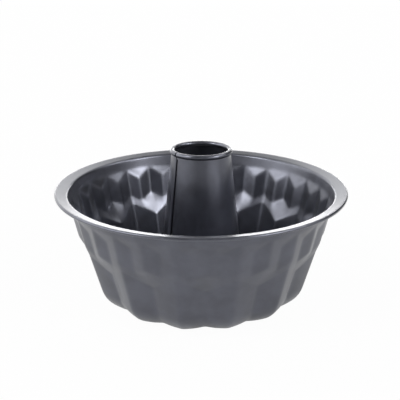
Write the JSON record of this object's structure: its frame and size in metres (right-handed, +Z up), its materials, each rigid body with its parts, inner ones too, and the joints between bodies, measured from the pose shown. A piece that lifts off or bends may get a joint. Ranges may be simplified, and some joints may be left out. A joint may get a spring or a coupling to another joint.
{
  "type": "kugelhopf mould",
  "caption": "Fluted ring cake mould of coated sheet steel, with a flanged rolled rim and a tapered central chimney hemmed into its floor.",
  "frame": {"origin": "on the mould's axis, in the plane that its lobes rest on", "axes": "+Z up along the chimney, open side up; -Y is the side nearest the picture's camera"},
  "size_m": [0.25, 0.25, 0.1333],
  "materials": {
    "bowl_coat": "satin non-stick coat",
    "chimney_coat": "satin non-stick coat"
  },
  "bodies": {
    "root": {"fluted_bowl": "bowl_coat", "chimney_tube": "chimney_coat"}
  },
  "joints": []
}
